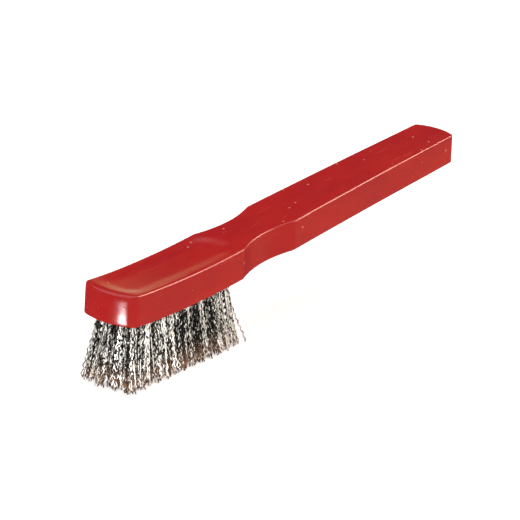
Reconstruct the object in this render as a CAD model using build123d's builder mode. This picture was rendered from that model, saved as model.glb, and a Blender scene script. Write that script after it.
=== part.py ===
"""Hand wire brush: a one-piece moulded block with 52 stapled tufts of crimped steel wire.

Frame: +X runs from the nose to the end of the handle, +Y across the brush, +Z up.
The tips of the wires lie on the plane z = 0, and x = 0 is the middle of the length.
All sizes are in millimetres.
"""

import math
import os

from build123d import *

os.makedirs("parts", exist_ok=True)

# Lengths along the brush, counted from the nose.
overall_length = 250.0
head_length = 80.7
neck_end = 119.1

# Plan outline, drawn at the level of the handle's highest point.
head_width = 28.0
handle_root_width = 26.8
handle_end_width = 21.9
nose_bow = 3.5
nose_corner_radius = 3.0
neck_scallop_depth = 3.3
neck_lead_in_radius = 3.0
neck_root_radius = 1.5
end_bow = 3.0
end_corner_radius = 2.0
wall_draft = 1.0

# Side profile.
trim_length = 31.6
nose_thickness = 14.4
heel_thickness = 14.2
end_thickness = 13.5
head_bow = 1.4
handle_rise = 9.5
underside_nose = trim_length
top_nose = underside_nose + nose_thickness
top_end = top_nose + handle_rise
top_edge_radius = 1.0
bottom_edge_radius = 0.6

# The draft makes the block longer towards its underside, at both ends.
nose_growth = (top_end - underside_nose) * math.tan(math.radians(wall_draft))
end_growth = end_thickness * math.tan(math.radians(wall_draft))
outline_length = overall_length - nose_growth - end_growth
nose_x = nose_growth - overall_length / 2

# Tuft grid, holes and anchors.
tuft_rows = 4
tuft_columns = 13
row_pitch = 5.7
column_pitch = 5.55
first_column = 8.2
hole_radius = 1.75
hole_depth = 10.5
shank_radius = 1.7
tip_radius = 2.55
collar_drop = 0.4
anchor_thickness = 0.45
anchor_length = 4.4
anchor_height = 2.0
fold_thickness = 0.6

# How far the tips of the outermost tufts lean out from their holes, and how much
# further the middle rows lean at the nose, where the tips follow its bow.
nose_lean = 3.1
heel_lean = 3.9
side_lean = 3.1
nose_bulge = 1.3

grid_width = row_pitch * (tuft_rows - 1)

# Length by which a cut or a trim passes the face that it meets.
overrun = 1.0
# Distance within which two positions along the brush count as the same.
same_place = 0.01
# Least Z of the normal of a face that counts as part of the top or the underside.
facing = 0.9


def underside(x):
    """Height of the head's underside at x; the bow is within 0.01 mm of a parabola."""
    along = x - nose_x
    straight = underside_nose + (nose_thickness - heel_thickness) * along / head_length
    across = 2 * along / head_length - 1
    return straight - head_bow * (1 - across**2)


def column_x(column):
    """Length position of a column of tufts, counted from 0 at the nose."""
    return nose_x + first_column + column * column_pitch


def row_y(row):
    """Width position of a row of tufts, counted from 0 at the -Y side."""
    return row * row_pitch - grid_width / 2


def lean(column, row):
    """Offset of a tuft's tip from its hole, growing out from the grid's middle."""
    along = 2 * column / (tuft_columns - 1) - 1
    across = 2 * row / (tuft_rows - 1) - 1
    if along > 0:
        reach = heel_lean * along
    else:
        reach = nose_lean * along + nose_bulge * along**3 * (1 - across**2)
    return reach, side_lean * across


def block_sides():
    """Plan outline of the block, extruded down with mould draft."""
    shoulder = nose_x + head_length
    root = nose_x + neck_end
    tail = nose_x + outline_length
    head_half = head_width / 2
    root_half = handle_root_width / 2
    end_half = handle_end_width / 2
    waist = (head_half + root_half) / 2 - neck_scallop_depth
    with BuildPart() as sides:
        with BuildSketch(Plane.XY.offset(top_end)) as outline:
            with BuildLine():
                nose = ThreePointArc(
                    (nose_x + nose_bow, -head_half),
                    (nose_x, 0),
                    (nose_x + nose_bow, head_half),
                )
                side = Line(nose @ 1, (shoulder, head_half))
                scallop = ThreePointArc(side @ 1, ((shoulder + root) / 2, waist), (root, root_half))
                grip = Line(scallop @ 1, (tail - end_bow, end_half))
                tip = ThreePointArc(grip @ 1, (tail, 0), (tail - end_bow, -end_half))
                grip_near = Line(tip @ 1, (root, -root_half))
                scallop_near = ThreePointArc(
                    grip_near @ 1, ((shoulder + root) / 2, -waist), (shoulder, -head_half)
                )
                Line(scallop_near @ 1, nose @ 0)
            make_face()
            corners = outline.vertices().group_by(Axis.X)
            fillet(corners[0], nose_corner_radius)
            corners = outline.vertices().group_by(Axis.X)
            fillet(corners[-1], end_corner_radius)
            lead_in = [v for v in outline.vertices() if abs(v.X - shoulder) < same_place]
            fillet(lead_in, neck_lead_in_radius)
            roots = [v for v in outline.vertices() if abs(v.X - root) < same_place]
            fillet(roots, neck_root_radius)
        extrude(amount=-(top_end - underside_nose + head_bow + overrun), taper=-wall_draft)
    return sides.part


def block_profile():
    """Side profile of the block, wide enough to be trimmed by its sides."""
    shoulder = nose_x + head_length
    tail = nose_x + outline_length
    middle = (nose_x + shoulder) / 2
    with BuildPart() as profile:
        with BuildSketch(Plane.XZ) as side_view:
            with BuildLine():
                head_top = ThreePointArc(
                    (nose_x - overrun, top_nose),
                    (middle, top_nose - head_bow),
                    (shoulder, top_nose),
                )
                handle_top = TangentArc(
                    head_top @ 1, (tail + overrun, top_end), tangent=head_top % 1
                )
                head_under = ThreePointArc(
                    (nose_x - overrun, underside_nose),
                    (middle, underside(middle)),
                    (shoulder, top_nose - heel_thickness),
                )
                handle_under = TangentArc(
                    head_under @ 1,
                    (tail + overrun, top_end - end_thickness),
                    tangent=head_under % 1,
                )
                Line(head_top @ 0, head_under @ 0)
                Line(handle_top @ 1, handle_under @ 1)
            make_face()
        extrude(amount=head_width, both=True)
    return profile.part


def rim_edges(part, upwards):
    """Edges around the top or the underside, without the seam between its two faces."""
    sign = 1 if upwards else -1
    faces = part.faces().filter_by(lambda face: face.normal_at().Z * sign > facing)
    edges = [edge for face in faces for edge in face.edges()]
    return [edge for edge in edges if sum(edge.is_same(other) for other in edges) == 1]


def handle_block():
    """Moulded block: head with blind tuft holes, scalloped neck and tapering handle."""
    sides = block_sides()
    profile = block_profile()
    with BuildPart() as block:
        add(sides)
        add(profile, mode=Mode.INTERSECT)
        fillet(rim_edges(block.part, upwards=True), top_edge_radius)
        fillet(rim_edges(block.part, upwards=False), bottom_edge_radius)
        for column in range(tuft_columns):
            x = column_x(column)
            mouths = [(x, row_y(row)) for row in range(tuft_rows)]
            floor = underside(x) + hole_depth
            with BuildSketch(Plane.XY.offset(floor)):
                with Locations(*mouths):
                    Circle(hole_radius)
            extrude(amount=-(hole_depth + overrun), mode=Mode.SUBTRACT)
            with BuildSketch(Plane.XY.offset(floor - fold_thickness)):
                with Locations(*mouths):
                    Rectangle(anchor_thickness, anchor_length)
            extrude(amount=-(hole_depth + overrun), mode=Mode.SUBTRACT)
    return block.part


def tuft(column, row):
    """Bundle of wires: a shank folded over its anchor, then a brush that flares to its tip."""
    x = column_x(column)
    y = row_y(row)
    reach, spread = lean(column, row)
    mouth = underside(x) - collar_drop
    floor = underside(x) + hole_depth
    with BuildPart() as bundle:
        with BuildSketch(Plane.XY.offset(mouth)):
            with Locations((x, y)):
                Circle(shank_radius)
        extrude(amount=floor - mouth)
        with BuildSketch(Plane.XY.offset(mouth)):
            with Locations((x, y)):
                Circle(shank_radius)
        with BuildSketch(Plane.XY):
            with Locations((x + reach, y + spread)):
                Circle(tip_radius)
        loft()
        with BuildSketch(Plane.XY.offset(floor - fold_thickness)):
            with Locations((x, y)):
                Rectangle(anchor_thickness, anchor_length)
        extrude(amount=-anchor_height, mode=Mode.SUBTRACT)
    return bundle.part


def anchor_row(row):
    """One row of flat steel anchors, each driven edge-first into its hole over the fold."""
    with BuildPart() as anchors:
        for column in range(tuft_columns):
            x = column_x(column)
            head = underside(x) + hole_depth - fold_thickness
            with BuildSketch(Plane.XY.offset(head)):
                with Locations((x, row_y(row))):
                    Rectangle(anchor_thickness, anchor_length)
            extrude(amount=-anchor_height)
    return anchors.part


block = handle_block()
block.label = "handle_block"
export_step(block, "parts/handle_block.step")

for row in range(tuft_rows):
    anchors = anchor_row(row)
    anchors.label = f"anchors_row_{row + 1}"
    export_step(anchors, f"parts/{anchors.label}.step")
    for column in range(tuft_columns):
        bundle = tuft(column, row)
        bundle.label = f"tuft_r{row + 1}_c{column + 1:02d}"
        export_step(bundle, f"parts/{bundle.label}.step")
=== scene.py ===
"""Hand wire brush: red moulded block, tufts of crimped steel wire and flat steel anchors.

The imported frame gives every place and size. The block is remade with the sink that its thick
moulding leaves in the head, and with a blind hole and an anchor groove for each tuft. Each tuft
is remade as a bundle of crimped wires, bent double over its anchor and trimmed to one plane.
Lengths are in metres; MM turns a size in millimetres into metres.
"""

import logging
import math
import random
from dataclasses import dataclass, field
from enum import Enum

import bmesh
import bpy
from mathutils import Matrix, Vector, noise


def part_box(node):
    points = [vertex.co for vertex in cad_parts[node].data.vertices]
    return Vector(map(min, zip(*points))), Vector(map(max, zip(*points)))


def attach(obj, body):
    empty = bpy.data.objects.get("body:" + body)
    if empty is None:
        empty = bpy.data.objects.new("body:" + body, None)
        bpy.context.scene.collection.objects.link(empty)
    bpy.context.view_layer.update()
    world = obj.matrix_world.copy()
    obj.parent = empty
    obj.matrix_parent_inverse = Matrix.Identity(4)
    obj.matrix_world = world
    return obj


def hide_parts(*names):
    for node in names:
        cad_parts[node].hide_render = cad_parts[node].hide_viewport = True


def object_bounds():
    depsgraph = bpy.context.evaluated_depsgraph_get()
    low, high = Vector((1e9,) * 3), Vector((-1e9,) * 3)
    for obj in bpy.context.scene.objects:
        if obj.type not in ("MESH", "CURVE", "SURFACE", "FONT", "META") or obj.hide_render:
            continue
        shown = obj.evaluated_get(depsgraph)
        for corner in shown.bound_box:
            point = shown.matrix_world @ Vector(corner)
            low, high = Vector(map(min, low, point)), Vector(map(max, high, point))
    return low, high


MM = 0.001
TONE = "wire_tone"
ROOT_BODY = "root"
BLOCK_NODE = "handle_block"
TUFT_PREFIX = "tuft_"
ANCHOR_PREFIX = "anchors_row"

# Sizes that several pieces share: the wire, and the room its fold takes above the anchor.
WIRE_RADIUS = 0.34 * MM
FOLD_THICKNESS = 0.6 * MM

# Distance below which two places on a mesh count as the same.
SAME_PLACE = 1e-6

log = logging.getLogger("wire_brush")
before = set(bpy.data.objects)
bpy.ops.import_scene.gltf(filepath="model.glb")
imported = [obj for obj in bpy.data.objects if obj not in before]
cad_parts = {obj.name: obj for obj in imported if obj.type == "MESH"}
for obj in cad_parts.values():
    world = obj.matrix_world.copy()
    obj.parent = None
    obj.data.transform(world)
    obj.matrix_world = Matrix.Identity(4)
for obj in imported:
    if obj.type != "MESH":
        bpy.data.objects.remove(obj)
cad_box = [list(corner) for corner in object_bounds()]


# ---------------------------------------------------------------- helpers


def linear(code: str) -> tuple[float, float, float, float]:
    """Turn an sRGB hex colour into linear red, green, blue and full alpha.

    Args:
        code: six hex digits, with or without a leading hash.

    Returns:
        The four linear channels.
    """
    digits = code.lstrip("#")
    channels = [int(digits[i:i + 2], 16) / 255 for i in (0, 2, 4)]
    low = [c / 12.92 if c <= 0.04045 else ((c + 0.055) / 1.055) ** 2.4 for c in channels]
    return (low[0], low[1], low[2], 1.0)


def add_node(
    tree: bpy.types.NodeTree,
    kind: str,
    settings: dict[str, object] | None = None,
    inputs: dict[str | int, object] | None = None,
) -> bpy.types.Node:
    """Add one node, with its settings, socket values and incoming links.

    Args:
        tree: the node tree to add to.
        kind: the node's type name.
        settings: properties of the node itself.
        inputs: socket name or number to a value, or to an output socket that feeds it.

    Returns:
        The new node.
    """
    node = tree.nodes.new(kind)
    for name, value in (settings or {}).items():
        setattr(node, name, value)
    for name, value in (inputs or {}).items():
        if isinstance(value, bpy.types.NodeSocket):
            tree.links.new(value, node.inputs[name])
        else:
            node.inputs[name].default_value = value
    return node


def set_stops(node: bpy.types.Node, stops: list[tuple[float, tuple[float, ...]]]) -> None:
    """Give a colour ramp its stops.

    Args:
        node: the ramp node.
        stops: position and linear colour of each stop, in order.
    """
    ramp = node.color_ramp
    while len(ramp.elements) < len(stops):
        ramp.elements.new(1.0)
    for element, (position, colour) in zip(ramp.elements, stops):
        element.position = position
        element.color = colour


def new_material(name: str) -> tuple[bpy.types.Material, bpy.types.Node]:
    """Make a material that has a node tree.

    Args:
        name: the material's name.

    Returns:
        The material and its shader node.
    """
    material = bpy.data.materials.new(name)
    material.use_nodes = True
    return material, material.node_tree.nodes["Principled BSDF"]


def mesh_object(
    name: str, bm: bmesh.types.BMesh, material: bpy.types.Material
) -> bpy.types.Object:
    """Turn a bmesh into a scene object at the origin.

    Args:
        name: the object's and the mesh's name.
        bm: the finished mesh, which is freed.
        material: the finish of the whole object.

    Returns:
        The new object.
    """
    mesh = bpy.data.meshes.new(name)
    bm.to_mesh(mesh)
    bm.free()
    mesh.materials.append(material)
    piece = bpy.data.objects.new(name, mesh)
    bpy.context.scene.collection.objects.link(piece)
    return piece


def smoothstep(low: float, high: float, value: float) -> float:
    """Ease from 0 at low to 1 at high, level at both ends.

    Args:
        low: where the rise starts.
        high: where it is full; it may lie below low.
        value: where to measure it.

    Returns:
        The share, from 0 to 1.
    """
    t = min(max((value - low) / (high - low), 0.0), 1.0)
    return t * t * (3 - 2 * t)


def ease_in(share: float, corner: float = 0.18) -> float:
    """Rise from 0 to 1 at an even slope, with a short rounding at each end.

    Args:
        share: how far along the slope, from 0 to 1.
        corner: the part of the slope that each rounding takes.

    Returns:
        The height, from 0 to 1.
    """
    t = min(max(share, 0.0), 1.0)
    if t < corner:
        return t * t / (2 * corner * (1 - corner))
    if t > 1 - corner:
        return 1 - (1 - t) * (1 - t) / (2 * corner * (1 - corner))
    return (t - corner / 2) / (1 - corner)


# ---------------------------------------------------------------- finishes


@dataclass(frozen=True)
class MouldedPolypropylene:
    """Injection-moulded polypropylene, glossy from a polished mould, with a few nibs and scuffs.

    Pattern scales are in repeats to the metre. An edge is the pair of pattern values between
    which a mark starts and is full.
    """

    name: str = "moulded_red_polypropylene"
    red: str = "#B01A18"
    deep_red: str = "#A6141A"
    speck: str = "#CE7A66"
    refraction: float = 1.49
    specular: float = 0.30
    roughness: float = 0.19
    most_gloss: float = -0.05
    least_gloss: float = 0.07
    flow_stretch: tuple[float, float, float] = (0.35, 1.0, 1.0)
    streak_scale: float = 80.0
    streak_edge: tuple[float, float] = (0.35, 0.65)
    nib_scale: float = 120.0
    nib_edge: tuple[float, float] = (0.045, 0.08)
    nib_height: float = 0.1 * MM
    nib_strength: float = 0.5
    wear_scale: float = 140.0
    scuff_scale: float = 700.0
    scuff_stretch: tuple[float, float, float] = (0.06, 1.0, 1.0)
    scuff_turn: float = 0.35
    scuff_edge: tuple[float, float] = (0.66, 0.70)
    scuff_dulling: float = 0.12
    ripple_scale: float = 160.0
    ripple_height: float = 0.2 * MM
    ripple_strength: float = 0.25

    def build(self) -> bpy.types.Material:
        """Make the material.

        Returns:
            The finished material.
        """
        material, shader = new_material(self.name)
        tree = material.node_tree
        shader.inputs["IOR"].default_value = self.refraction
        shader.inputs["Specular IOR Level"].default_value = self.specular
        place = add_node(tree, "ShaderNodeTexCoord").outputs["Object"]
        # Pigment streaks follow the flow of the melt along the handle, about 12 mm apart.
        flow = add_node(tree, "ShaderNodeMapping", inputs={0: place, "Scale": self.flow_stretch})
        streaks = add_node(
            tree,
            "ShaderNodeTexNoise",
            inputs={"Vector": flow.outputs[0], "Scale": self.streak_scale, "Detail": 3.0},
        )
        tone = add_node(tree, "ShaderNodeValToRGB", inputs={0: streaks.outputs[0]})
        low, high = self.streak_edge
        set_stops(tone, [(low, linear(self.deep_red)), (high, linear(self.red))])
        # Dust nibs under the skin, about 1 mm across and 10 to 30 mm apart.
        nibs = add_node(
            tree, "ShaderNodeTexVoronoi", inputs={"Vector": place, "Scale": self.nib_scale}
        )
        nib_mask = add_node(tree, "ShaderNodeValToRGB", inputs={0: nibs.outputs["Distance"]})
        low, high = self.nib_edge
        set_stops(nib_mask, [(low, (1, 1, 1, 1)), (high, (0, 0, 0, 1))])
        paint = add_node(
            tree,
            "ShaderNodeMix",
            {"data_type": "RGBA"},
            {0: nib_mask.outputs[0], 6: tone.outputs[0], 7: linear(self.speck)},
        )
        tree.links.new(paint.outputs[2], shader.inputs["Base Color"])
        # Handling wear: patches some 7 mm wide where the gloss is a little duller.
        wear = add_node(
            tree,
            "ShaderNodeTexNoise",
            inputs={"Vector": place, "Scale": self.wear_scale, "Detail": 5.0},
        )
        gloss = add_node(
            tree,
            "ShaderNodeMapRange",
            inputs={
                0: wear.outputs[0],
                "To Min": self.roughness + self.most_gloss,
                "To Max": self.roughness + self.least_gloss,
            },
        )
        # Hairline scuffs along the grip, some 0.3 mm wide, drawn wider than real ones.
        along = add_node(
            tree,
            "ShaderNodeMapping",
            inputs={0: place, "Rotation": (0.0, 0.0, self.scuff_turn), "Scale": self.scuff_stretch},
        )
        hairs = add_node(
            tree,
            "ShaderNodeTexNoise",
            inputs={"Vector": along.outputs[0], "Scale": self.scuff_scale},
        )
        scuffs = add_node(tree, "ShaderNodeValToRGB", inputs={0: hairs.outputs[0]})
        low, high = self.scuff_edge
        dull = self.scuff_dulling
        set_stops(scuffs, [(low, (0, 0, 0, 1)), (high, (dull, dull, dull, 1))])
        dulled = add_node(
            tree,
            "ShaderNodeMath",
            {"operation": "ADD"},
            {0: gloss.outputs[0], 1: scuffs.outputs[0]},
        )
        tree.links.new(dulled.outputs[0], shader.inputs["Roughness"])
        # Ripple of the cooled skin, 6 mm long, and the raised nibs.
        ripple = add_node(
            tree,
            "ShaderNodeTexNoise",
            inputs={"Vector": flow.outputs[0], "Scale": self.ripple_scale, "Detail": 1.0},
        )
        skin = add_node(
            tree,
            "ShaderNodeBump",
            inputs={
                "Strength": self.ripple_strength,
                "Distance": self.ripple_height,
                "Height": ripple.outputs[0],
            },
        )
        raised = add_node(
            tree,
            "ShaderNodeBump",
            inputs={
                "Strength": self.nib_strength,
                "Distance": self.nib_height,
                "Height": nib_mask.outputs[0],
                "Normal": skin.outputs[0],
            },
        )
        tree.links.new(raised.outputs[0], shader.inputs["Normal"])
        return material


@dataclass(frozen=True)
class CrimpedSteel:
    """Drawn and crimped carbon steel wire: bright flanks, browned and duller at the cut tips.

    Pattern scales are in repeats to the metre. The scale and shade edge is the pair of pattern
    values between which the wire turns from its dark tone, drawing scale and painted shade, to
    bright.
    """

    name: str = "crimped_steel_wire"
    bright: str = "#F2F0EC"
    scaled_and_shaded: str = "#201E1D"
    # Dark tone: drawing scale, and painted shade for the gaps inside the tufts.
    browned: str = "#8C6A54"
    roughness: float = 0.36
    mottling: float = 0.75
    stretch_scale: float = 380.0
    leg_shift: float = 60.0
    scale_and_shade_edge: tuple[float, float] = (0.48, 0.55)
    brown_height: float = 14.0 * MM
    brown_share: float = 0.95
    brown_dulling: float = 0.3
    patch_scale: float = 420.0

    def build(self) -> bpy.types.Material:
        """Make the material.

        Returns:
            The finished material.
        """
        material, shader = new_material(self.name)
        tree = material.node_tree
        shader.inputs["Metallic"].default_value = 1.0
        place = add_node(tree, "ShaderNodeTexCoord").outputs["Object"]
        # Each leg has its own tone and its own run of bright and dark stretches, 3 mm long. The
        # dark tone is partly drawing scale and partly painted shade, which darkens the wires
        # between the lit ones.
        own = add_node(tree, "ShaderNodeAttribute", {"attribute_name": TONE})
        run = add_node(
            tree,
            "ShaderNodeMath",
            {"operation": "MULTIPLY"},
            {0: own.outputs["Fac"], 1: self.leg_shift},
        )
        mottle = add_node(
            tree,
            "ShaderNodeTexNoise",
            {"noise_dimensions": "4D"},
            {"Vector": place, "W": run.outputs[0], "Scale": self.stretch_scale, "Detail": 2.0},
        )
        blend = add_node(
            tree,
            "ShaderNodeMix",
            inputs={0: self.mottling, 2: own.outputs["Fac"], 3: mottle.outputs[0]},
        )
        tone = add_node(tree, "ShaderNodeValToRGB", inputs={0: blend.outputs[0]})
        # The dark stop is painted shade as well as drawing scale.
        low, high = self.scale_and_shade_edge
        set_stops(tone, [(low, linear(self.scaled_and_shaded)), (high, linear(self.bright))])
        # Heat and rust tint rises from the cut ends, in patches 2 to 3 mm wide.
        height = add_node(tree, "ShaderNodeSeparateXYZ", inputs={0: place})
        rise = add_node(
            tree,
            "ShaderNodeMapRange",
            {"interpolation_type": "SMOOTHSTEP"},
            {
                0: height.outputs["Z"],
                "From Min": 0.0,
                "From Max": self.brown_height,
                "To Min": self.brown_share,
                "To Max": 0.0,
            },
        )
        patches = add_node(
            tree,
            "ShaderNodeTexNoise",
            inputs={"Vector": place, "Scale": self.patch_scale, "Detail": 3.0},
        )
        tint = add_node(
            tree,
            "ShaderNodeMath",
            {"operation": "MULTIPLY"},
            {0: rise.outputs[0], 1: patches.outputs[0]},
        )
        colour = add_node(
            tree,
            "ShaderNodeMix",
            {"data_type": "RGBA"},
            {0: tint.outputs[0], 6: tone.outputs[0], 7: linear(self.browned)},
        )
        tree.links.new(colour.outputs[2], shader.inputs["Base Color"])
        dulled = add_node(
            tree,
            "ShaderNodeMapRange",
            inputs={
                0: tint.outputs[0],
                "To Min": self.roughness,
                "To Max": self.roughness + self.brown_dulling,
            },
        )
        tree.links.new(dulled.outputs[0], shader.inputs["Roughness"])
        return material


@dataclass(frozen=True)
class StampedSteel:
    """Flat drawn steel strip cut into anchors: plain grey with fine drawing lines."""

    name: str = "stamped_anchor_steel"
    light: str = "#A9A8A6"
    dark: str = "#7C7B7A"
    roughness: float = 0.38
    line_dulling: float = 0.15
    line_scale: float = 5000.0
    line_stretch: tuple[float, float, float] = (1.0, 0.04, 1.0)
    line_edge: tuple[float, float] = (0.3, 0.7)

    def build(self) -> bpy.types.Material:
        """Make the material.

        Returns:
            The finished material.
        """
        material, shader = new_material(self.name)
        tree = material.node_tree
        shader.inputs["Metallic"].default_value = 1.0
        place = add_node(tree, "ShaderNodeTexCoord").outputs["Object"]
        # Drawing lines run along the strip and are 0.2 mm apart, coarser than real ones.
        drawn = add_node(tree, "ShaderNodeMapping", inputs={0: place, "Scale": self.line_stretch})
        lines = add_node(
            tree,
            "ShaderNodeTexNoise",
            inputs={"Vector": drawn.outputs[0], "Scale": self.line_scale},
        )
        tone = add_node(tree, "ShaderNodeValToRGB", inputs={0: lines.outputs[0]})
        low, high = self.line_edge
        set_stops(tone, [(low, linear(self.dark)), (high, linear(self.light))])
        tree.links.new(tone.outputs[0], shader.inputs["Base Color"])
        gloss = add_node(
            tree,
            "ShaderNodeMapRange",
            inputs={
                0: lines.outputs[0],
                "To Min": self.roughness,
                "To Max": self.roughness + self.line_dulling,
            },
        )
        tree.links.new(gloss.outputs[0], shader.inputs["Roughness"])
        return material


@dataclass(frozen=True)
class PaleFloor:
    """Opal white light table: matt, and lit a little from below so that shadows stay faint."""

    name: str = "pale_floor"
    white: str = "#F6F5F4"
    roughness: float = 0.9
    specular: float = 0.1
    glow: float = 0.5

    def build(self) -> bpy.types.Material:
        """Make the material.

        Returns:
            The finished material.
        """
        material, shader = new_material(self.name)
        shader.inputs["Base Color"].default_value = linear(self.white)
        shader.inputs["Roughness"].default_value = self.roughness
        shader.inputs["Specular IOR Level"].default_value = self.specular
        shader.inputs["Emission Color"].default_value = linear(self.white)
        shader.inputs["Emission Strength"].default_value = self.glow
        return material


# ---------------------------------------------------------------- block


@dataclass
class Block:
    """The one-piece moulded block: head, scalloped neck and tapering handle.

    It starts as a rounded slab of the head's own width and thickness. The slab is cut into a
    grid and its points are moved to the outline, the bowed head and the rising handle. Places
    along the block are counted from the nose.
    """

    # Plan outline. Each bow fades out over its reach.
    head_length: float = 80.7 * MM
    neck_end: float = 119.1 * MM
    head_half: float = 14.0 * MM
    root_half: float = 13.4 * MM
    end_half: float = 10.95 * MM
    scallop_depth: float = 3.3 * MM
    nose_bow: float = 3.5 * MM
    end_bow: float = 3.0 * MM
    bow_reach: float = 20.0 * MM
    nose_corner: float = 3.0 * MM
    end_corner: float = 2.0 * MM
    # Side profile and draft.
    head_bow: float = 1.4 * MM
    nose_thickness: float = 14.4 * MM
    heel_thickness: float = 14.2 * MM
    end_thickness: float = 13.5 * MM
    handle_rise: float = 9.5 * MM
    handle_crown: float = 0.56 * MM
    draft: float = math.radians(1.0)
    top_radius: float = 1.0 * MM
    under_radius: float = 0.6 * MM
    # Sink of the head, deeper towards the neck by its growth, and of the handle.
    sink_depth: float = 0.5 * MM
    sink_half_width: float = 13.0 * MM
    sink_slope: float = 7.0 * MM
    sink_corner: float = 11.0 * MM
    sink_growth: float = 0.45
    sink_start: float = 4.0 * MM
    sink_end: float = 84.0 * MM
    handle_sink: float = 0.15 * MM
    handle_sink_edge: tuple[float, float] = (2.0 * MM, 16.0 * MM)
    # Wear of the nose, and waves of the top skin.
    nose_wear: float = 1.0 * MM
    nose_wear_length: float = 3.5 * MM
    wear_start: float = 0.5
    waviness: float = 0.07 * MM
    wave_length: float = 22.0 * MM
    wave_width: float = 10.0 * MM
    wave_layer: float = 3.7
    skin_start: float = 0.9
    # Holes and grooves.
    hole_radius: float = 1.75 * MM
    hole_sides: int = 20
    anchor_thickness: float = 0.45 * MM
    anchor_length: float = 4.4 * MM
    cutter_overrun: float = 3.0 * MM
    # How finely the mesh is cut.
    grid_step: float = 1.5 * MM
    corner_steps: int = 6
    top_steps: int = 4
    under_steps: int = 3
    wall_levels: tuple[float, ...] = (0.2, 0.4, 0.6, 0.8)
    sharp_angle: float = math.radians(35)
    node: str = BLOCK_NODE
    low: Vector = field(default_factory=Vector)
    high: Vector = field(default_factory=Vector)

    def __post_init__(self) -> None:
        """Read the block's box from the frame."""
        low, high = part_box(self.node)
        self.low, self.high = Vector(low), Vector(high)

    @property
    def length(self) -> float:
        """Overall length."""
        return self.high.x - self.low.x

    @property
    def top_nose(self) -> float:
        """Height of the top at the nose."""
        return self.high.z - self.handle_rise

    def top(self, along: float) -> float:
        """Height of the top face.

        Args:
            along: distance from the nose.

        Returns:
            The height in the frame.
        """
        if along < self.head_length:
            across = 2 * along / self.head_length - 1
            return self.top_nose - self.head_bow * (1 - across * across)
        run = (along - self.head_length) / (self.length - self.head_length)
        crown = self.handle_crown * 4 * run * (1 - run)
        return self.top_nose + self.handle_rise * run + crown

    def thickness(self, along: float) -> float:
        """Distance from the top to the underside.

        Args:
            along: distance from the nose.

        Returns:
            The thickness.
        """
        if along < self.head_length:
            run = along / self.head_length
            return self.nose_thickness + (self.heel_thickness - self.nose_thickness) * run
        run = (along - self.head_length) / (self.length - self.head_length)
        return self.heel_thickness + (self.end_thickness - self.heel_thickness) * run

    def half_width(self, along: float) -> float:
        """Half of the plan width.

        Args:
            along: distance from the nose.

        Returns:
            The distance from the middle line to a wall.
        """
        if along <= self.head_length:
            return self.head_half
        if along >= self.neck_end:
            run = (along - self.neck_end) / (self.length - self.neck_end)
            return self.root_half + (self.end_half - self.root_half) * run
        run = (along - self.head_length) / (self.neck_end - self.head_length)
        chord = self.head_half + (self.root_half - self.head_half) * run
        return chord - self.scallop_depth * 4 * run * (1 - run)

    def sink(self, along: float, across: float) -> float:
        """Depth of the sink at a point of the top: a flat floor with even slopes, then a hollow.

        Args:
            along: distance from the nose.
            across: distance from the middle line.

        Returns:
            The depth below the face as drawn.
        """
        middle = (self.sink_start + self.sink_end) / 2
        reach = (self.sink_end - self.sink_start) / 2
        out_x = max(abs(along - middle) - (reach - self.sink_corner), 0.0)
        out_y = max(abs(across) - (self.sink_half_width - self.sink_corner), 0.0)
        inside = self.sink_corner - math.hypot(out_x, out_y)
        deeper = 1 + self.sink_growth * along / self.head_length
        head = self.sink_depth * deeper * ease_in(inside / self.sink_slope)
        beyond = smoothstep(self.head_length, self.neck_end, along)
        near_tail, clear_of_tail = self.handle_sink_edge
        beyond *= smoothstep(self.length - near_tail, self.length - clear_of_tail, along)
        share = min(abs(across) / self.end_half, 1.0)
        return head + self.handle_sink * beyond * (1 - share * share)

    def place(self, point: Vector) -> Vector:
        """Move a point of the slab to its place on the block.

        Args:
            point: x from the nose, y across, z from 0 underneath to the nose thickness on top.

        Returns:
            The point in the row frame.
        """
        along, share = point.x, point.y / self.head_half
        near_nose = max(1 - along / self.bow_reach, 0.0)
        near_end = max(1 - (self.length - along) / self.bow_reach, 0.0)
        shifted = along + share * share * (self.nose_bow * near_nose - self.end_bow * near_end)
        lift = point.z / self.nose_thickness
        height = self.top(along) - self.thickness(along) * (1 - lift)
        across = share * self.half_width(along)
        # The draft leans every wall out towards the underside.
        across += (self.high.z - height) * math.tan(self.draft) * share
        # The rim is worn rounder at the nose than along the walls.
        worn = max(1 - along / self.nose_wear_length, 0.0) * smoothstep(self.wear_start, 1.0, lift)
        height -= self.nose_wear * worn * worn
        skin = smoothstep(self.skin_start, 1.0, lift)
        if skin > 0:
            spot = Vector((shifted / self.wave_length, across / self.wave_width, self.wave_layer))
            height += skin * (self.waviness * noise.noise(spot) - self.sink(shifted, across))
        return Vector((self.low.x + shifted, across, height))

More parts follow.
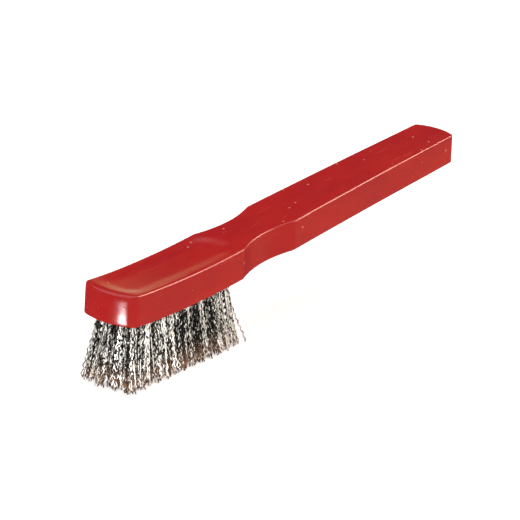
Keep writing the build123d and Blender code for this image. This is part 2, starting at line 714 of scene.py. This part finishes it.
    def slab(self) -> bmesh.types.BMesh:
        """Make the rounded slab and cut it into a grid.

        Returns:
            The slab as a bmesh, with x from 0 at the nose.
        """
        bm = bmesh.new()
        size = Matrix.Diagonal((self.length, 2 * self.head_half, self.nose_thickness, 1.0))
        centre = Matrix.Translation((self.length / 2, 0, self.nose_thickness / 2))
        bmesh.ops.create_cube(bm, size=1.0, matrix=centre @ size)
        for at_nose, radius in ((True, self.nose_corner), (False, self.end_corner)):
            corners = [
                e for e in bm.edges
                if abs(e.verts[0].co.z - e.verts[1].co.z) > self.nose_thickness / 2
                and (e.verts[0].co.x < self.length / 2) == at_nose
            ]
            self.round_off(bm, corners, radius, self.corner_steps)
        for level, radius, steps in (
            (self.nose_thickness, self.top_radius, self.top_steps),
            (0.0, self.under_radius, self.under_steps),
        ):
            rim = [e for e in bm.edges if all(abs(v.co.z - level) < SAME_PLACE for v in e.verts)]
            self.round_off(bm, rim, radius, steps)
        width = 2 * self.head_half
        strips = round(width / self.grid_step)
        cuts = [(Vector((x, 0, 0)), Vector((1, 0, 0))) for x in self.stations()]
        for i in range(1, strips):
            cuts.append((Vector((0, width * i / strips - self.head_half, 0)), Vector((0, 1, 0))))
        for share in self.wall_levels:
            cuts.append((Vector((0, 0, share * self.nose_thickness)), Vector((0, 0, 1))))
        for point, normal in cuts:
            geometry = bm.verts[:] + bm.edges[:] + bm.faces[:]
            bmesh.ops.bisect_plane(
                bm, geom=geometry, dist=SAME_PLACE, plane_co=point, plane_no=normal
            )
        return bm

    @staticmethod
    def round_off(
        bm: bmesh.types.BMesh, edges: list[bmesh.types.BMEdge], radius: float, steps: int
    ) -> None:
        """Round some edges of the slab.

        Args:
            bm: the slab.
            edges: the edges to round.
            radius: how far the rounding reaches from each edge.
            steps: how many strips it has.
        """
        bmesh.ops.bevel(
            bm, geom=edges, offset=radius, segments=steps, profile=0.5, affect="EDGES", material=-1
        )

    def stations(self) -> list[float]:
        """Places where the slab is cut across, with one at each end of the neck.

        Returns:
            Distances from the nose, in order.
        """
        stops = []
        bounds = [0.0, self.head_length, self.neck_end, self.length]
        for start, end in zip(bounds, bounds[1:]):
            steps = round((end - start) / self.grid_step)
            stops += [start + (end - start) * i / steps for i in range(1, steps + 1)]
        return stops[:-1]

    def build(self, tufts: list["Tuft"], material: bpy.types.Material) -> bpy.types.Object:
        """Make the block, bore it for the tufts and put it in the frame.

        Args:
            tufts: the tufts that the block holds.
            material: its finish.

        Returns:
            The finished object.
        """
        bm = self.slab()
        for vert in bm.verts:
            vert.co = self.place(vert.co)
        bmesh.ops.remove_doubles(bm, verts=bm.verts, dist=SAME_PLACE)
        bmesh.ops.recalc_face_normals(bm, faces=bm.faces)
        piece = mesh_object("moulded_block", bm, material)
        self.bore(piece, [self.hole_cutter(tufts), self.groove_cutter(tufts)])
        for polygon in piece.data.polygons:
            polygon.use_smooth = True
        piece.data.set_sharp_from_angle(angle=self.sharp_angle)
        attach(piece, ROOT_BODY)
        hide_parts(self.node)
        log.info("block: %d faces", len(piece.data.polygons))
        return piece

    def hole_cutter(self, tufts: list["Tuft"]) -> bmesh.types.BMesh:
        """One cylinder for each tuft's blind hole, from its floor to below the underside.

        Args:
            tufts: the tufts to make room for.

        Returns:
            The cylinders as one bmesh.
        """
        bm = bmesh.new()
        for tuft in tufts:
            depth = tuft.floor - tuft.mouth + self.cutter_overrun
            middle = Matrix.Translation((tuft.hole.x, tuft.hole.y, tuft.floor - depth / 2))
            bmesh.ops.create_cone(
                bm,
                cap_ends=True,
                segments=self.hole_sides,
                radius1=self.hole_radius,
                radius2=self.hole_radius,
                depth=depth,
                matrix=middle,
            )
        return bm

    def groove_cutter(self, tufts: list["Tuft"]) -> bmesh.types.BMesh:
        """One slot for each anchor, cut by its ends as it was driven in from the mouth.

        Args:
            tufts: the tufts whose anchors need a slot.

        Returns:
            The slots as one bmesh.
        """
        bm = bmesh.new()
        for tuft in tufts:
            top = tuft.floor - FOLD_THICKNESS
            depth = top - tuft.mouth + self.cutter_overrun
            middle = Matrix.Translation((tuft.hole.x, tuft.hole.y, top - depth / 2))
            size = Matrix.Diagonal((self.anchor_thickness, self.anchor_length, depth, 1.0))
            bmesh.ops.create_cube(bm, size=1.0, matrix=middle @ size)
        return bm

    def bore(self, piece: bpy.types.Object, cutters: list[bmesh.types.BMesh]) -> None:
        """Cut each set of cutters out of a piece.

        Args:
            piece: the object to cut.
            cutters: closed meshes, one set after another.
        """
        for bm in cutters:
            mesh = bpy.data.meshes.new("cutter")
            bm.to_mesh(mesh)
            bm.free()
            tool = bpy.data.objects.new("cutter", mesh)
            bpy.context.scene.collection.objects.link(tool)
            cut = piece.modifiers.new("bore", "BOOLEAN")
            cut.operation = "DIFFERENCE"
            cut.solver = "EXACT"
            cut.object = tool
            bpy.context.view_layer.update()
            graph = bpy.context.evaluated_depsgraph_get()
            bored = bpy.data.meshes.new_from_object(piece.evaluated_get(graph))
            piece.modifiers.clear()
            piece.data = bored
            bpy.data.objects.remove(tool)


# ---------------------------------------------------------------- tufts


class Run(Enum):
    """How a wire runs below its hole: with its bundle, or out of it."""

    WITH_BUNDLE = "with_bundle"
    STRAY = "stray"


@dataclass(frozen=True)
class WireHabits:
    """How much one wire differs from the next.

    A pair is the least and the most of an even range. The scatter of the tips, the sway, the
    raggedness and the twist are standard deviations.
    """

    flare: tuple[float, float] = (0.8, 1.15)
    tip_scatter: float = 0.3 * MM
    sway: float = 0.22 * MM
    sway_turns: float = 0.75
    sway_phase: tuple[float, float] = (0.0, math.pi)
    stray_share: float = 0.18
    stray_reach: float = 3.0 * MM
    stray_range: tuple[float, float] = (0.4, 1.0)
    stray_lift: float = 0.1
    heel_column: int = 13
    heel_share: float = 0.4
    heel_reach: float = 6.0 * MM
    heel_along: tuple[float, float] = (0.3, 1.0)
    heel_across: tuple[float, float] = (-0.2, 0.2)
    clearance: float = 0.22 * MM
    raggedness: float = 0.8 * MM
    crimp_length: tuple[float, float] = (0.9, 1.35)
    crimp_height: tuple[float, float] = (0.75, 1.2)
    kink_height: tuple[float, float] = (0.6, 1.3)
    twist: float = 0.8
    fold_height: tuple[float, float] = (0.3, 0.7)


@dataclass
class WireStock:
    """Straight lengths of round wire, cut into spans one unit long, one mesh for each length.

    Three sides and two spans to a crimp are the fewest that hold the shape of a crimped wire.
    """

    radius: float = WIRE_RADIUS
    sides: int = 3
    meshes: dict[int, bpy.types.Mesh] = field(default_factory=dict)

    def straight(self, spans: int) -> bpy.types.Mesh:
        """Straight wire with closed ends along Z, made once for each number of spans.

        Args:
            spans: how many spans it has.

        Returns:
            The mesh.
        """
        if spans not in self.meshes:
            bm = bmesh.new()
            bmesh.ops.create_cone(
                bm,
                cap_ends=True,
                segments=self.sides,
                radius1=self.radius,
                radius2=self.radius,
                depth=float(spans),
                matrix=Matrix.Translation((0, 0, spans / 2)),
            )
            flanks = [e for e in bm.edges if abs(e.verts[0].co.z - e.verts[1].co.z) > 0.5]
            bmesh.ops.subdivide_edges(bm, edges=flanks, cuts=spans - 1, use_grid_fill=True)
            mesh = bpy.data.meshes.new(f"wire_stock_{spans}")
            bm.to_mesh(mesh)
            bm.free()
            self.meshes[spans] = mesh
        return self.meshes[spans]


@dataclass
class Tuft:
    """One bundle of crimped wires, bent double over its anchor in a blind hole."""

    node: str
    wires: int = 9
    crimp_length: float = 3.0 * MM
    crimp_height: float = 0.52 * MM
    pack_radius: float = 1.4 * MM
    spread: float = 2.3
    spread_power: float = 1.1
    lean_power: float = 1.12
    stray_power: float = 2.2
    crimp_start: float = 0.12
    fold_drop: float = 0.3 * MM
    fold_width: float = 0.6
    shank: float = 10.5 * MM
    margin: float = 0.35 * MM
    face_reach: float = 0.01 * MM
    habits: WireHabits = WireHabits()
    hole: Vector = field(default_factory=Vector)
    tip: Vector = field(default_factory=Vector)
    floor: float = 0.0
    mouth: float = 0.0
    column: int = 0

    def __post_init__(self) -> None:
        """Read the hole's axis, the tip's centre and the heights from the frame's own solid."""
        points = [v.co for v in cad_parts[self.node].data.vertices]
        top = max(p.z for p in points)
        base = min(p.z for p in points)
        self.hole = self.middle([p for p in points if p.z > top - self.face_reach])
        self.tip = self.middle([p for p in points if p.z < base + self.face_reach])
        self.floor = top
        self.mouth = top - self.shank
        self.column = int(self.node.rsplit("_c", 1)[1])

    @staticmethod
    def middle(points: list[Vector]) -> Vector:
        """Centre of the box around some points.

        Args:
            points: points at one height.

        Returns:
            The centre, at their height.
        """
        xs = [p.x for p in points]
        ys = [p.y for p in points]
        return Vector(((min(xs) + max(xs)) / 2, (min(ys) + max(ys)) / 2, points[0].z))

    def stray(self, run: Run, rnd: random.Random) -> Vector:
        """How far a wire's tip lies out of its place in the bundle.

        Args:
            run: whether the wire strays of itself.
            rnd: the tuft's own random numbers.

        Returns:
            The level offset of the tip, zero for most wires.
        """
        habits = self.habits
        offset = Vector((0, 0, 0))
        if run is Run.STRAY:
            turn = rnd.uniform(0, 2 * math.pi)
            reach = habits.stray_reach
            offset = Vector((math.cos(turn), math.sin(turn), 0)) * reach
            offset *= rnd.uniform(*habits.stray_range)
        if self.column == habits.heel_column and rnd.random() < habits.heel_share:
            along, across = rnd.uniform(*habits.heel_along), rnd.uniform(*habits.heel_across)
            offset = Vector((along, across, 0)) * habits.heel_reach
        return offset

    def leg(self, start: Vector, rnd: random.Random) -> list[Vector]:
        """Route of one wire end, from its cut tip up to the mouth of the hole.

        Args:
            start: the wire's place in the hole, counted from the hole's axis.
            rnd: the tuft's own random numbers.

        Returns:
            Points from the tip to the mouth.
        """
        habits = self.habits
        run = Run.STRAY if rnd.random() < habits.stray_share else Run.WITH_BUNDLE
        end = start * self.spread * rnd.uniform(*habits.flare)
        end += Vector((rnd.gauss(0, habits.tip_scatter), rnd.gauss(0, habits.tip_scatter), 0))
        sway = Vector((rnd.gauss(0, habits.sway), rnd.gauss(0, habits.sway), 0))
        stray = self.stray(run, rnd)
        bottom = habits.clearance + abs(rnd.gauss(0, 1)) * habits.raggedness
        bottom += stray.length * habits.stray_lift
        pitch = self.crimp_length * rnd.uniform(*habits.crimp_length)
        steps = 2 * round((self.mouth - bottom) / pitch)
        turn = rnd.uniform(0, 2 * math.pi)
        twist = rnd.gauss(0, habits.twist)
        height = self.crimp_height * rnd.uniform(*habits.crimp_height)
        phase = rnd.uniform(*habits.sway_phase)
        lean = self.tip - self.hole
        limit = cad_box[1][1] + self.margin - WIRE_RADIUS
        points = []
        for i in range(steps + 1):
            down = 1 - i / steps
            heading = turn + twist * down
            side = Vector((math.cos(heading), math.sin(heading), 0)) * height * (-1) ** i
            side *= rnd.uniform(*habits.kink_height) * smoothstep(0.0, self.crimp_start, down)
            middle = start.lerp(end, down ** self.spread_power)
            middle += Vector((lean.x, lean.y, 0)) * down ** self.lean_power
            middle += sway * math.sin(2 * math.pi * habits.sway_turns * down + phase)
            middle += stray * down ** self.stray_power
            x = self.hole.x + middle.x + side.x
            y = max(-limit, min(limit, self.hole.y + middle.y + side.y))
            points.append(Vector((x, y, self.mouth + (bottom - self.mouth) * down)))
        return points

    def seats(self) -> list[Vector]:
        """Places of the wires on one side of the anchor, spread over half of the hole.

        Returns:
            Offsets from the hole's axis.
        """
        golden = math.pi * (3 - math.sqrt(5))
        places = []
        for i in range(2 * self.wires):
            reach = self.pack_radius * math.sqrt((i + 0.5) / (2 * self.wires))
            place = Vector((reach * math.cos(i * golden), reach * math.sin(i * golden), 0))
            if place.x > 0:
                places.append(place)
        return places[:self.wires]

    def wire(
        self,
        bm: bmesh.types.BMesh,
        stock: WireStock,
        route: list[Vector],
        tones: tuple[float, float],
    ) -> None:
        """Add one round wire along a route, closed at both ends.

        Args:
            bm: the tuft's mesh.
            stock: straight wire, ready cut into spans.
            route: points from one cut tip to the other.
            tones: how bright its two legs are, from 0 to 1.
        """
        first = len(bm.verts)
        spans = len(route) - 1
        layer = bm.verts.layers.float[TONE]
        bm.from_mesh(stock.straight(spans))
        bm.verts.ensure_lookup_table()
        # At each point of the route the wire's section stands square to the way ahead.
        frames = []
        for i, point in enumerate(route):
            ahead = (route[min(i + 1, spans)] - route[max(i - 1, 0)]).normalized()
            side = (Vector((0, 1, 0)) - ahead * ahead.y).normalized()
            frames.append((point, side, side.cross(ahead)))
        for vert in bm.verts[first:]:
            index = round(vert.co.z)
            point, side, across = frames[index]
            vert[layer] = tones[0] if 2 * index <= spans else tones[1]
            vert.co = point + side * vert.co.x + across * vert.co.y

    def build(self, stock: WireStock, material: bpy.types.Material) -> bpy.types.Object:
        """Make the bundle and put it in the frame.

        Args:
            stock: straight wire to bend.
            material: the wires' finish.

        Returns:
            The finished object.
        """
        rnd = random.Random(self.node)
        bm = bmesh.new()
        bm.verts.layers.float.new(TONE)
        top = self.floor - FOLD_THICKNESS
        for seat in self.seats():
            left = Vector((-seat.x, seat.y, 0))
            down = self.leg(seat, rnd)
            up = self.leg(left, rnd)
            under = top - self.fold_drop
            over = top + FOLD_THICKNESS * rnd.uniform(*self.habits.fold_height)
            bend = seat.x * self.fold_width
            y = self.hole.y + seat.y
            fold = [
                Vector((self.hole.x + seat.x, y, under)),
                Vector((self.hole.x + bend, y, over)),
                Vector((self.hole.x - bend, y, over)),
                Vector((self.hole.x - seat.x, y, under)),
            ]
            self.wire(bm, stock, down + fold + up[::-1], (rnd.random(), rnd.random()))
        bmesh.ops.recalc_face_normals(bm, faces=bm.faces)
        for face in bm.faces:
            face.smooth = len(face.verts) == 4
        piece = mesh_object(self.node.replace("tuft", "wires"), bm, material)
        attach(piece, ROOT_BODY)
        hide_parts(self.node)
        return piece


# ---------------------------------------------------------------- anchors


@dataclass
class Anchors:
    """The flat steel anchors, kept as the frame has them."""

    prefix: str = ANCHOR_PREFIX

    def dress(self, material: bpy.types.Material) -> int:
        """Give every row of anchors its finish.

        Args:
            material: the finish.

        Returns:
            How many rows were dressed.
        """
        rows = [node for name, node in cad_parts.items() if name.startswith(self.prefix)]
        for node in rows:
            for material_slot in node.material_slots:
                material_slot.material = material
        return len(rows)


# ---------------------------------------------------------------- studio


@dataclass(frozen=True)
class Lamp:
    """One soft rectangular light, hung at an offset from what it faces."""

    name: str
    aim: tuple[float, float, float]
    offset: tuple[float, float, float]
    size: tuple[float, float]
    power: float
    tint: tuple[float, float, float] = (1.0, 1.0, 1.0)
    highlights_only: bool = False

    def hang(self, lit: list[bpy.types.Object] | None = None) -> None:
        """Hang the light.

        Args:
            lit: the only pieces that it lights, or None for everything.
        """
        data = bpy.data.lights.new(self.name, "AREA")
        data.shape = "RECTANGLE"
        data.size, data.size_y = self.size
        data.energy = self.power
        data.color = self.tint
        lamp = bpy.data.objects.new(self.name, data)
        bpy.context.scene.collection.objects.link(lamp)
        aim = Vector(self.aim)
        place = aim + Vector(self.offset)
        turn = (aim - place).to_track_quat("-Z", "Y").to_matrix().to_4x4()
        lamp.matrix_world = Matrix.Translation(place) @ turn
        lamp.visible_camera = False
        lamp.visible_diffuse = not self.highlights_only
        if lit is not None:
            group = bpy.data.collections.new(f"lit_by_{self.name}")
            for piece in lit:
                group.objects.link(piece)
            lamp.light_linking.receiver_collection = group


# Mirrors in the worn rim along the top of the walls and draws a thin warm line there.
RIDGE_BOX = Lamp(
    name="ridge_box",
    aim=(-0.03, 0.0, 0.03),
    offset=(0.757, -0.36, 0.54),
    size=(0.35, 0.35),
    power=10.0,
    tint=(1.0, 0.72, 0.58),
    highlights_only=True,
)
# Makes the upright highlight on the nose, from low in front of it.
NOSE_STRIP = Lamp(
    name="nose_strip",
    aim=(-0.125, -0.0085, 0.033),
    offset=(-0.058, 0.002, -0.027),
    size=(0.015, 0.013),
    power=0.06,
    highlights_only=True,
)
# Rakes the wires from the side of the nose, so that each crimp has a bright and a dark flank.
WIRE_BOX = Lamp(
    name="wire_box",
    aim=(-0.085, 0.0, 0.015),
    offset=(-0.9, -0.75, 0.40),
    size=(0.40, 0.20),
    power=72.0,
)


@dataclass(frozen=True)
class Room:
    """The room round the table, as bands of brightness by height.

    A band's place runs from 0 straight down, through 0.5 at the horizon, to 1 straight up. Each
    band fades into the next.
    """

    bands: tuple[tuple[float, tuple[float, float, float, float]], ...] = (
        # Below the table: dim and warm.
        (0.0, (0.26, 0.22, 0.15, 1)),
        (0.495, (0.26, 0.22, 0.15, 1)),
        # Bright strip at the horizon, then a warm wall up to 14 degrees.
        (0.505, (1.6, 1.5, 1.3, 1)),
        (0.54, (0.38, 0.27, 0.15, 1)),
        (0.62, (0.43, 0.28, 0.14, 1)),
        # Dark band, so that the level top keeps its own deep colour.
        (0.655, (0.03, 0.03, 0.03, 1)),
        (0.80, (0.03, 0.03, 0.03, 1)),
        # White ceiling, which gives the even light.
        (0.87, (0.95, 0.95, 0.96, 1)),
        (1.0, (1.0, 1.0, 1.0, 1)),
    )
    strength: float = 2.0
    shade: tuple[float, float, float, float] = (0.05, 0.05, 0.05, 1)
    shade_start: float = -0.45
    shade_full: float = -0.1

    def build(self) -> None:
        """Make the room and put it round the scene."""
        world = bpy.data.worlds.new("studio")
        world.use_nodes = True
        tree = world.node_tree
        ground = tree.nodes["Background"]
        facing = add_node(tree, "ShaderNodeTexCoord").outputs["Generated"]
        height = add_node(tree, "ShaderNodeSeparateXYZ", inputs={0: facing})
        rise = add_node(
            tree,
            "ShaderNodeMapRange",
            inputs={0: height.outputs["Z"], "From Min": -1.0, "From Max": 1.0},
        )
        ramp = add_node(tree, "ShaderNodeValToRGB", inputs={0: rise.outputs[0]})
        set_stops(ramp, list(self.bands))
        # Below the horizon the room is bright only on the near side, which is -Y.
        below = add_node(
            tree, "ShaderNodeMath", {"operation": "LESS_THAN"}, {0: height.outputs["Z"], 1: 0.0}
        )
        far = add_node(
            tree,
            "ShaderNodeMapRange",
            inputs={
                0: height.outputs["Y"],
                "From Min": self.shade_start,
                "From Max": self.shade_full,
            },
        )
        dim = add_node(
            tree,
            "ShaderNodeMath",
            {"operation": "MULTIPLY"},
            {0: below.outputs[0], 1: far.outputs[0]},
        )
        mixed = add_node(
            tree,
            "ShaderNodeMix",
            {"data_type": "RGBA"},
            {0: dim.outputs[0], 6: ramp.outputs[0], 7: self.shade},
        )
        tree.links.new(mixed.outputs[2], ground.inputs["Color"])
        ground.inputs["Strength"].default_value = self.strength
        bpy.context.scene.world = world


@dataclass
class Studio:
    """Pale floor, soft lights, the room and the camera."""

    azimuth: float = math.radians(-54.4)
    elevation: float = math.radians(21.3)
    roll: float = math.radians(2.9)
    distance: float = 2.009
    lens: float = 311.5
    far_clip: float = 20.0
    target: Vector = field(default_factory=lambda: Vector((-12.75, -0.3, 28.2)) * MM)
    floor_size: float = 6.0

    def camera(self) -> bpy.types.Object:
        """Place the camera on a long lens, leaning a little to one side.

        Returns:
            The camera.
        """
        data = bpy.data.cameras.new("camera")
        data.lens = self.lens
        data.clip_end = self.far_clip
        eye = bpy.data.objects.new("camera", data)
        bpy.context.scene.collection.objects.link(eye)
        away = Vector((
            math.sin(self.azimuth) * math.cos(self.elevation),
            -math.cos(self.azimuth) * math.cos(self.elevation),
            math.sin(self.elevation),
        ))
        look = (-away).to_track_quat("-Z", "Y").to_matrix().to_4x4()
        lean = Matrix.Rotation(self.roll, 4, "Z")
        eye.matrix_world = Matrix.Translation(self.target + away * self.distance) @ look @ lean
        bpy.context.scene.camera = eye
        return eye

    def build(self, block: bpy.types.Object, wires: list[bpy.types.Object]) -> None:
        """Lay the floor, hang the lights and set up the camera.

        Args:
            block: the moulded block, which the strip at the nose lights alone.
            wires: the bundles of wires, which have a light box of their own.
        """
        bm = bmesh.new()
        bmesh.ops.create_grid(bm, x_segments=1, y_segments=1, size=self.floor_size)
        floor = mesh_object("floor", bm, PaleFloor().build())
        # Left out of reflections, so that the glossy walls of the block mirror the dim room.
        floor.visible_glossy = False
        RIDGE_BOX.hang()
        NOSE_STRIP.hang(lit=[block])
        WIRE_BOX.hang(lit=wires)
        Room().build()
        self.camera()
        bpy.context.scene.view_settings.view_transform = "Standard"


# ---------------------------------------------------------------- assembly


def main() -> None:
    """Build the brush and its studio."""
    logging.basicConfig(level=logging.INFO, format="%(name)s: %(message)s")
    tufts = [Tuft(name) for name in sorted(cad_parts) if name.startswith(TUFT_PREFIX)]
    block = Block().build(tufts, MouldedPolypropylene().build())
    wire_finish = CrimpedSteel().build()
    stock = WireStock()
    wires = [tuft.build(stock, wire_finish) for tuft in tufts]
    log.info("tufts: %d bundles", len(tufts))
    log.info("anchors: %d rows", Anchors().dress(StampedSteel().build()))
    Studio().build(block, wires)
    bpy.context.view_layer.update()


if __name__ == "__main__":
    main()
